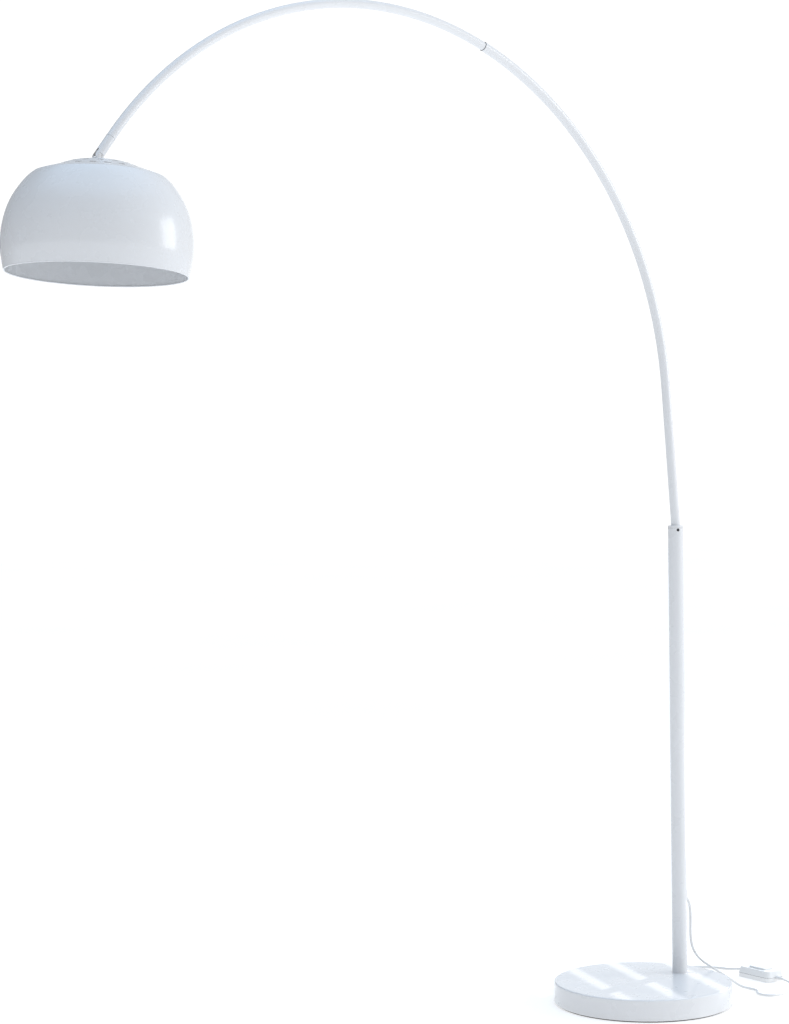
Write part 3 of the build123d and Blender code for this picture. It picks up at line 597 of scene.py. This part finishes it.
def cord_tie():
    """Soft strap around the put-away turns of the cord."""
    work = bmesh.new()
    outward = Vector((cos(TIE_ANGLE), sin(TIE_ANGLE), 0))
    along = Vector((-sin(TIE_ANGLE), cos(TIE_ANGLE), 0))
    up = Vector((0, 0, 1))
    middle = Vector((COIL_CENTRE[0], COIL_CENTRE[1], 0)) + outward * TIE_RING
    loop = []
    span = TIE_HALF_SPAN
    top, bottom = TIE_LEVELS
    for cx, cz, start in ((span, top, 0), (-span, top, 90), (-span, bottom, 180), (span, bottom, 270)):
        for k in range(6):
            turn = radians(start + 18 * k)
            x = cx + TIE_ROUND * cos(turn)
            z = cz + TIE_ROUND * sin(turn)
            loop.append((x, z, cos(turn), sin(turn)))
    rows = []
    wide = TIE_HALF_WIDTH
    section = ((0.0, wide), (0.0, -wide), (TIE_THICK, -wide), (TIE_THICK, wide))
    for x, z, nx, nz in loop:
        row = []
        for depth, half in section:
            lift = depth if z > 0.6 else depth * 0.1
            place = middle + outward * (x + nx * lift) + up * max(z + nz * lift, 0.02)
            row.append(work.verts.new((place + along * half) * MM))
        rows.append(row)
    for a, b in zip(rows, rows[1:] + rows[:1]):
        for k in range(4):
            work.faces.new((a[k], a[(k + 1) % 4], b[(k + 1) % 4], b[k]))
    mesh = bpy.data.meshes.new("cord_tie")
    work.to_mesh(mesh)
    work.free()
    return link(bpy.data.objects.new("cord_tie", mesh))


def relief_rings(name, matrix, first, side):
    """Flex ribs of one strain relief, from the shell outwards."""
    verts = []
    faces = []
    for k in range(4):
        radius = (4.0 - 0.3 * k) * MM
        centre = (first + 1.4 + 3.3 * k) * side * MM
        path = []
        normals = []
        for i in range(40):
            turn = tau * i / 40
            spoke = Vector((0, cos(turn), sin(turn)))
            path.append(matrix @ (spoke * radius + Vector((centre, 0, 8.5 * MM))))
            normals.append(matrix.to_3x3() @ spoke)
        add_tube(verts, faces, path, normals, 0.42 * MM)
    return mesh_piece(name, verts, faces)


RELIEF_A = finish_piece(relief_rings("relief_ribs_a", SWITCH, 45, 1), "root", CORD_PVC)
RELIEF_B = finish_piece(relief_rings("relief_ribs_b", SWITCH, 45, -1), "root", CORD_PVC)
SEAM_A = finish_piece(switch_seam("switch_seam_a", 1), "root", BLACK_AND_SHADE)
SEAM_B = finish_piece(switch_seam("switch_seam_b", -1), "root", BLACK_AND_SHADE)
PLUG_RIBS = finish_piece(plug_ribs(), "root", CORD_PVC)
PEDAL_RIBS = finish_piece(pedal_ribs(), "pedal", PLASTIC)
TIE = finish_piece(cord_tie(), "root", PLASTIC)
finish_piece(vent_lips(), "shade_head", SHADE_PAINT)
finish_piece(holder_ribs(), "shade_head", HOLDER)
# painted shade behind the cooling slots, as a dark ring under the cap
finish_piece(vent_shade_baffle(), "shade_head", BLACK_AND_SHADE)
gasket = band("collar_gasket", SHADE, 5.3, 9.0, -0.2, 0.02, 0.04)
finish_piece(gasket, "shade_head", BLACK_RUBBER)
neck = band("bulb_neck_ring", SHADE, 12.5, 14.4, 57.2, 61.0, 0.5)
finish_piece(neck, "bulb", PLASTIC)
mouth = ring("mouth_gasket", arc_place(MOUTH_SWEEP + MOUTH_GAP), 8.5, 0.25, 0.42)
finish_piece(mouth, "lower_arm", BLACK_RUBBER)
# dark ring at the ferrule's root: painted shade in the gap where the ferrule meets the arm tube
seam = ring("ferrule_gap_shadow", arc_place(FERRULE_SWEEP), 8.12, 0.2, 0.16)
finish_piece(seam, "upper_arm", DARK_STEEL_AND_SHADE)
foot = ring("pole_foot_weld", POLE, 15.2, 43.2, 0.9)
finish_piece(foot, "root", PAINT)
# thin dark ring at the collar's lip: painted shade in the joint between collar and pole
lip = ring("collar_gap_shadow", POLE, 14.95, 935.0, 0.14)
finish_piece(lip, "root", DARK_STEEL_AND_SHADE)


# ---------------------------------------------------------------- stage
FLOOR_HALF = 30.0
SUN = Vector((3.5, 0.3, 2.2))
SLATS = ((-0.26, -0.117), (-0.089, -0.010), (0.018, 0.112), (0.140, 0.34))
SLAT_SKEW = 0.435
BASE_TOP = 0.043


def make_stage():
    """Pale floor, wider than the main view."""
    half = FLOOR_HALF
    verts = [(-half, -half, 0), (half, -half, 0), (half, half, 0), (-half, half, 0)]
    floor = mesh_piece("floor", verts, [(0, 1, 2, 3)], smooth=False)
    nodes = Nodes(
        "pale_floor", Roughness=0.9, Specular_IOR_Level=0.0,
        Emission_Color=(1, 1, 1, 1), Emission_Strength=0.6,
    )
    nodes.colour(nodes.noise(0.7, 2), (0.52, 0.52, 0.52), (0.55, 0.55, 0.55))
    paint_on(floor, nodes.material)


def make_window_bars():
    """Slats between the low sun and the base, so that sunlight falls on it in strips."""
    verts = []
    faces = []
    for low, high in SLATS:
        corners = []
        for s, y in ((low, -0.3), (high, -0.3), (high, 0.3), (low, 0.3)):
            spot = Vector((s + SLAT_SKEW * y, y, BASE_TOP))
            corners.append(spot.lerp(SUN, 0.45))
        start = len(verts)
        verts += corners
        faces.append((start, start + 1, start + 2, start + 3))
    bars = mesh_piece("window_bars", verts, faces, smooth=False)
    nodes = Nodes("bar_paint", Roughness=0.8)
    nodes.colour(nodes.noise(3.0, 2), (0.85, 0.85, 0.85), (0.9, 0.9, 0.9))
    paint_on(bars, nodes.material)


def dot_with(tree, place, direction):
    """How far the looked-at direction agrees with a given one."""
    node = tree.nodes.new("ShaderNodeVectorMath")
    node.operation = "DOT_PRODUCT"
    node.inputs[1].default_value = direction
    tree.links.new(place, node.inputs[0])
    return node.outputs["Value"]


def stepped(tree, value, low, high):
    """Value moved to 0..1 between two limits, smoothly."""
    node = tree.nodes.new("ShaderNodeMapRange")
    node.interpolation_type = "SMOOTHSTEP"
    node.inputs["From Min"].default_value = low
    node.inputs["From Max"].default_value = high
    tree.links.new(value, node.inputs["Value"])
    return node.outputs["Result"]


def mixed(tree, factor, first, second):
    """Two colours mixed; each is a socket or plain numbers."""
    node = tree.nodes.new("ShaderNodeMix")
    node.data_type = "RGBA"
    tree.links.new(factor, node.inputs["Factor"])
    for key, value in ((6, first), (7, second)):
        if isinstance(value, tuple):
            node.inputs[key].default_value = (*value, 1)
        else:
            tree.links.new(value, node.inputs[key])
    return node.outputs[2]


def make_world():
    """Room light: dim at the left, bright at the right, pale sky above, white behind the lamp."""
    world = bpy.data.worlds.new("studio")
    bpy.context.scene.world = world
    world.use_nodes = True
    tree = world.node_tree
    place = tree.nodes.new("ShaderNodeTexCoord").outputs["Generated"]
    sideways = stepped(tree, dot_with(tree, place, (0.80, -0.60, 0)), -0.9, 0.9)
    room = mixed(tree, sideways, (0.25, 0.25, 0.255), (0.88, 0.885, 0.895))
    front = stepped(tree, dot_with(tree, place, (-0.645, -0.764, 0)), 0.0, 1.0)
    room = mixed(tree, front, room, (0.47, 0.465, 0.465))
    above = stepped(tree, dot_with(tree, place, (0, 0, 1)), 0.62, 0.97)
    room = mixed(tree, above, room, (1.12, 1.40, 1.74))
    behind = stepped(tree, dot_with(tree, place, (0.645, 0.764, 0)), 0.93, 0.955)
    room = mixed(tree, behind, room, (1.1, 1.1, 1.1))
    tree.links.new(room, tree.nodes["Background"].inputs["Color"])


def aim(lamp, place, target):
    """Put a light somewhere and turn it to a point."""
    lamp.location = place
    ahead = Vector(target) - Vector(place)
    lamp.rotation_euler = ahead.to_track_quat("-Z", "Y").to_euler()


def area_light(name, place, target, size, power, tint=(1, 1, 1)):
    """Soft square light aimed at a point."""
    data = bpy.data.lights.new(name, "AREA")
    data.shape = "SQUARE"
    data.size = size
    data.energy = power
    data.color = tint
    aim(link(bpy.data.objects.new(name, data)), place, target)


def low_sun():
    """Small hard light on the base and the pole's foot, through the window bars."""
    data = bpy.data.lights.new("low_sun", "SPOT")
    data.energy = 480
    data.spot_size = radians(13)
    data.spot_blend = 0.6
    data.shadow_soft_size = 0.006
    data.color = (1.0, 0.98, 0.95)
    aim(link(bpy.data.objects.new("low_sun", data)), SUN, (0.0, 0, BASE_TOP))


make_stage()
make_window_bars()
make_world()
low_sun()
area_light("window_right", (3.0, -2.4, 2.2), (-0.4, 0, 0.9), 2.0, 44, (0.96, 0.98, 1.0))
